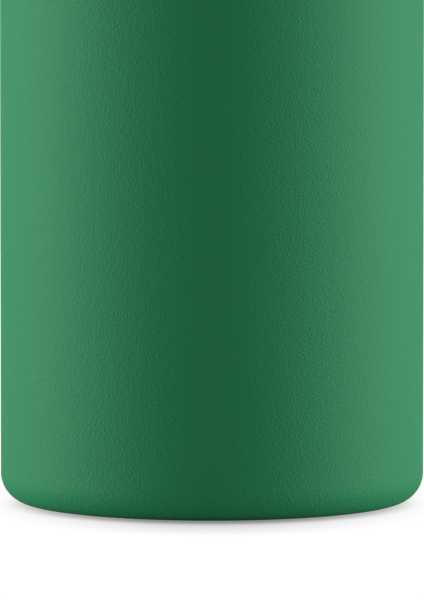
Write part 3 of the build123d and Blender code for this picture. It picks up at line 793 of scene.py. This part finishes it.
def grip_cover():
    """The stopper's cover: a fluted grip with a rounded top edge, and a well for the button."""
    low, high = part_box("top_cover")
    radius = high.x
    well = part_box("button")[1].x + WELL_CLEARANCE
    well_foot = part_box("spring_washer")[0].z
    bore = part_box("stopper_deck")[1].x + COVER_CLEARANCE
    flute_top = high.z - FLUTE_TOP_DROP
    rim = [(well + out, high.z - drop, bend) for out, drop, bend in WELL_RIM]
    outline = rounded(
        [
            (bore, low.z, COVER_BORE_ROUND),
            (radius, low.z, COVER_FOOT_ROUND),
            (radius, high.z, COVER_TOP_ROUND),
            *rim,
            (well, well_foot, 0),
            (well + COVER_WALL, well_foot, 0),
            (well + COVER_WALL, high.z - COVER_WALL, COVER_INSIDE_ROUND),
            (bore, high.z - COVER_WALL, COVER_INSIDE_ROUND),
        ],
        closed=True,
    )
    line = []
    for point, ahead in zip(outline, outline[1:] + outline[:1]):
        run = ahead - point
        on_skirt = abs(run.x) < NEARLY and point.x > radius - NEARLY
        rows = ceil(run.length / FLUTE_ROW) if on_skirt else 1
        line += [point + run * row / rows for row in range(rows)]

    def flute(point_radius, height, angle):
        """The radius of a point once the skirt is fluted."""
        if point_radius < bore + UNFLUTED_WALL:
            return point_radius
        across = ((angle * FLUTES / (2 * pi) + 0.5) % 1 - 0.5) * 2 * pi * radius / FLUTES
        if abs(across) > FLUTE_HALF_WIDTH:
            return point_radius
        run_out = min(max((flute_top - height) / FLUTE_RUN_OUT, 0.0), 1.0)
        eased = run_out * run_out * (3 - 2 * run_out)
        return point_radius - FLUTE_DEPTH * eased * (1 + cos(pi * across / FLUTE_HALF_WIDTH)) / 2

    turned_piece("grip_cover", line, "top_cover", segments=FLUTES * FLUTE_SEGMENTS, displace=flute)


BUTTON_WALL = 1.2 * MM
BUTTON_FOOT_ROUND = 0.25 * MM
BUTTON_INSIDE_ROUND = 0.8 * MM
BUTTON_EDGE_DROP = 0.25 * MM
BUTTON_EDGE_ROUND = 1.3 * MM
BUTTON_CROWN_SHARE = 0.74  # of the button's radius
BUTTON_CROWN_DROP = 0.15 * MM
BUTTON_CROWN_ROUND = 1.2 * MM
BUTTON_DISH_DEPTH = 0.75 * MM
BUTTON_BEND_SHARE = 0.45  # of the crown's radius
BUTTON_BEND_DEPTH = 0.9  # of the dish's depth
BUTTON_BEND_ROUND = 4.0 * MM
BOSS_WALL = 1.7 * MM
BOSS_CORNER = 0.5 * MM
BOSS_FOOT_ROUND = 0.2 * MM


def push_button():
    """The button: a thin cap with a dished top in a raised rim, and a boss for the stem."""
    low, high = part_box("button")
    radius = high.x
    stem = radii("valve_stem", low.z, high.z)[1]
    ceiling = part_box("valve_stem")[1].z
    crown = BUTTON_CROWN_SHARE * radius
    bend_z = high.z - BUTTON_BEND_DEPTH * BUTTON_DISH_DEPTH
    outline = rounded(
        [
            (0, ceiling, 0),
            (0, high.z - BUTTON_DISH_DEPTH, 0),
            (BUTTON_BEND_SHARE * crown, bend_z, BUTTON_BEND_ROUND),
            (crown, high.z - BUTTON_CROWN_DROP, BUTTON_CROWN_ROUND),
            (radius, high.z - BUTTON_EDGE_DROP, BUTTON_EDGE_ROUND),
            (radius, low.z, BUTTON_FOOT_ROUND),
            (radius - BUTTON_WALL, low.z, BUTTON_FOOT_ROUND),
            (radius - BUTTON_WALL, ceiling, BUTTON_INSIDE_ROUND),
            (stem + BOSS_WALL, ceiling, BOSS_CORNER),
            (stem + BOSS_WALL, low.z, BOSS_FOOT_ROUND),
            (stem, low.z, BOSS_FOOT_ROUND),
            (stem, ceiling, 0),
        ],
    )
    turned_piece("push_button", outline, "button")


SPRING_WIRE = 0.8 * MM
CLOSED_PITCH = SPRING_WIRE * 1.04
DEAD_COILS = 1.0  # closed, at each end
ACTIVE_COILS = 3.5
SPRING_STEPS = 48  # a turn


def return_spring():
    """The button's spring, with closed end coils."""
    low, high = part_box("button_spring")
    radius = high.x - SPRING_WIRE / 2
    start_z = low.z + SPRING_WIRE / 2
    open_pitch = (high.z - low.z - SPRING_WIRE - 2 * DEAD_COILS * CLOSED_PITCH) / ACTIVE_COILS
    turns = ACTIVE_COILS + 2 * DEAD_COILS

    def climb(wound):
        """How far the wire has risen after so many turns."""
        opened = min(max(wound - DEAD_COILS, 0), ACTIVE_COILS)
        return (wound - opened) * CLOSED_PITCH + opened * open_pitch

    path = []
    for step in range(round(turns * SPRING_STEPS) + 1):
        wound = step / SPRING_STEPS
        angle = 2 * pi * wound
        path.append(Vector((radius * cos(angle), radius * sin(angle), start_z + climb(wound))))
    mesh = bmesh.new()
    tube(mesh, path, SPRING_WIRE)
    spring = new_piece("return_spring", mesh, "button_spring")
    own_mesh(spring)


# ---------------------------------------------------------------- cup
CUP_WALL = 0.4 * MM
CUP_LIP_BAND = 0.2 * MM  # the lip's edge is within this of the mouth
CUP_RECESS = 1.0 * MM
CUP_RECESS_STEP = 1.2 * MM
CUP_RECESS_BEND = 0.8 * MM
CUP_STAND_RADIUS = 27.5 * MM
LINING_CORNER = 5.0 * MM


def cup_cover():
    """The cup's painted shell: a hemmed rim, a rounded end, and a recess in the ring it stands on."""
    low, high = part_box("cup_shell")
    radius = high.x
    barrel_bottom, barrel_top = heights("cup_shell", radius - NEARLY, 1.0)
    lip = radii("cup_shell", low.z, low.z + CUP_LIP_BAND)[0]
    recess_z = high.z - CUP_RECESS
    outline = sheet(
        [
            (lip, low.z, 0),
            (radius, low.z, barrel_bottom - low.z),
            (radius, high.z, high.z - barrel_top),
            (CUP_STAND_RADIUS, high.z, CUP_RECESS_BEND),
            (CUP_STAND_RADIUS - CUP_RECESS_STEP, recess_z, CUP_RECESS_BEND),
            (0, recess_z, 0),
        ],
        CUP_WALL,
    )
    turned_piece("cup_cover", outline, "cup_shell")


def cup_lining():
    """The cup's bare steel inside."""
    low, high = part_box("cup_liner")
    bore = high.x - CUP_WALL
    ceiling = high.z - CUP_WALL
    outline = sheet([(bore, low.z, 0), (bore, ceiling, LINING_CORNER), (0, ceiling, 0)], -CUP_WALL)
    turned_piece("cup_lining", outline, "cup_liner")


# ---------------------------------------------------------------- stage, light and camera
PHOTO_ELEVATION = radians(4.75)
CAMERA_DISTANCE = 1.6
VIEW_HEIGHT = 37.6 * MM  # the camera looks at the axis this far above the floor
BARREL_SHARE = 0.9969  # of the picture's width
SENSOR_WIDTH = 36.0  # millimetres
CLIP_RANGE = (0.05, 60.0)
FLOOR_HALF = 6.0
WHITE = 1.03  # blown out
FLOOR_BOUNCE = 0.9  # the grey that the floor lights the flask with
SHADOW_REACH = 23 * MM
SHADOW_SAMPLES = 32
SHADOW_FLOOR = 0.25  # how bright the floor stays at the flask's foot, in front
SIDE_SHADOW_FLOOR = 0.52  # and at its sides, which the soft boxes light
SIDE_FALL_OFF = 2.6  # how much faster the shadow fades at the sides
LIGHTS_AIM = 0.06  # above the floor
SIDE_BOX_AT = (1.1, 0.05, 0.12)  # and mirrored in x
SIDE_BOX_SIZE = (0.9, 0.25)
SIDE_BOX_COLOUR = (0.98, 1.0, 1.05)
SIDE_POWER = 11.3
OVERHEAD_HEIGHT = 1.5
OVERHEAD_SIZE = (2.0, 2.0)
TOP_POWER = 6.0
ROOM = 0.20  # the grey room round the set, which lights the flask but isn't seen


def white_when_seen(tree, output, unseen, seen):
    """Shows one shader to the camera and another to everything else."""
    path = tree.nodes.new("ShaderNodeLightPath")
    mix = tree.nodes.new("ShaderNodeMixShader")
    tree.links.new(path.outputs["Is Camera Ray"], mix.inputs["Fac"])
    tree.links.new(unseen, mix.inputs[1])
    tree.links.new(seen, mix.inputs[2])
    tree.links.new(mix.outputs["Shader"], output.inputs["Surface"])


def sideways(tree):
    """0 in front of and behind the flask, and 1 straight to its sides, where the soft boxes stand."""
    x, y, _ = axes(tree)
    across = math(tree, "MULTIPLY", x, x)
    return math(tree, "DIVIDE", across, math(tree, "ADD", across, math(tree, "MULTIPLY", y, y)))


def floor_material():
    """A blown-out white sweep with a contact shadow, which bounces light as a grey one does."""
    material, tree, shader = new_material("floor")
    tree.nodes.remove(shader)
    grey = tree.nodes.new("ShaderNodeBsdfDiffuse")
    grey.inputs["Color"].default_value = (FLOOR_BOUNCE, FLOOR_BOUNCE, FLOOR_BOUNCE, 1)
    contact = tree.nodes.new("ShaderNodeAmbientOcclusion")
    contact.samples = SHADOW_SAMPLES
    contact.inputs["Distance"].default_value = SHADOW_REACH
    glow = tree.nodes.new("ShaderNodeEmission")
    hidden = math(tree, "SUBTRACT", 1.0, contact.outputs["AO"])
    side = sideways(tree)
    fall_off = remap(tree, side, 1.0, SIDE_FALL_OFF, 0.0, 1.0)
    depth = remap(tree, side, WHITE - SHADOW_FLOOR, WHITE - SIDE_SHADOW_FLOOR, 0.0, 1.0)
    shadow = math(tree, "MULTIPLY", math(tree, "POWER", hidden, fall_off), depth)
    tree.links.new(math(tree, "SUBTRACT", WHITE, shadow), glow.inputs["Strength"])
    output = tree.nodes["Material Output"]
    white_when_seen(tree, output, grey.outputs["BSDF"], glow.outputs["Emission"])
    return material


def studio_floor():
    """A floor that goes on past the picture's edges in every view."""
    data = bpy.data.meshes.new("floor")
    corners = [(x * FLOOR_HALF, y * FLOOR_HALF, 0) for x, y in ((-1, -1), (1, -1), (1, 1), (-1, 1))]
    data.from_pydata(corners, [], [(0, 1, 2, 3)])
    floor = bpy.data.objects.new("floor", data)
    bpy.context.scene.collection.objects.link(floor)
    data.materials.append(floor_material())


def studio_world():
    """White where the camera sees past the floor, and a dim grey room to the flask."""
    world = bpy.data.worlds.new("studio")
    bpy.context.scene.world = world
    world.use_nodes = True
    tree = world.node_tree
    dim = tree.nodes["Background"]
    dim.inputs["Color"].default_value = (1, 1, 1, 1)
    dim.inputs["Strength"].default_value = ROOM
    white = tree.nodes.new("ShaderNodeBackground")
    white.inputs["Color"].default_value = (1, 1, 1, 1)
    white.inputs["Strength"].default_value = WHITE
    unseen, seen = (node.outputs["Background"] for node in (dim, white))
    white_when_seen(tree, tree.nodes["World Output"], unseen, seen)


def area_light(name, place_at, size, power, colour=(1, 1, 1)):
    """A soft box that faces the flask and isn't seen itself."""
    data = bpy.data.lights.new(name, "AREA")
    data.shape = "RECTANGLE"
    data.size, data.size_y = size
    data.energy = power
    data.color = colour
    light = bpy.data.objects.new(name, data)
    bpy.context.scene.collection.objects.link(light)
    light.location = place_at
    aim = Vector((0, 0, LIGHTS_AIM)) - Vector(place_at)
    light.rotation_euler = aim.to_track_quat("-Z", "Y").to_euler()
    light.visible_camera = False


def studio_lights():
    """Two long soft boxes at the flask's sides and a wide panel overhead."""
    x, y, z = SIDE_BOX_AT
    for side in (-1, 1):
        area_light(f"side_box_{side}", (x * side, y, z), SIDE_BOX_SIZE, SIDE_POWER, SIDE_BOX_COLOUR)
    area_light("overhead", (0, 0, OVERHEAD_HEIGHT), OVERHEAD_SIZE, TOP_POWER)


def studio_camera():
    """A long lens at the photograph's height and angle."""
    data = bpy.data.cameras.new("camera")
    camera = bpy.data.objects.new("camera", data)
    bpy.context.scene.collection.objects.link(camera)
    target = Vector((0, 0, VIEW_HEIGHT))
    back = Vector((0, -cos(PHOTO_ELEVATION), sin(PHOTO_ELEVATION)))
    camera.location = target + back * CAMERA_DISTANCE
    camera.rotation_euler = (-back).to_track_quat("-Z", "Y").to_euler()
    half_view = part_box("outer_shell")[1].x / CAMERA_DISTANCE / BARREL_SHARE
    data.sensor_fit = "HORIZONTAL"
    data.sensor_width = SENSOR_WIDTH
    data.lens = SENSOR_WIDTH / 2 / half_view
    data.clip_start, data.clip_end = CLIP_RANGE
    bpy.context.scene.camera = camera


dress_cad_nodes()
for build in (
    flask_shell,
    shoulder_trim,
    base_plate,
    foot,
    foil_wrap,
    grip_cover,
    push_button,
    return_spring,
    cup_cover,
    cup_lining,
):
    build()
studio_floor()
studio_world()
studio_lights()
studio_camera()
bpy.context.scene.view_settings.view_transform = "Standard"
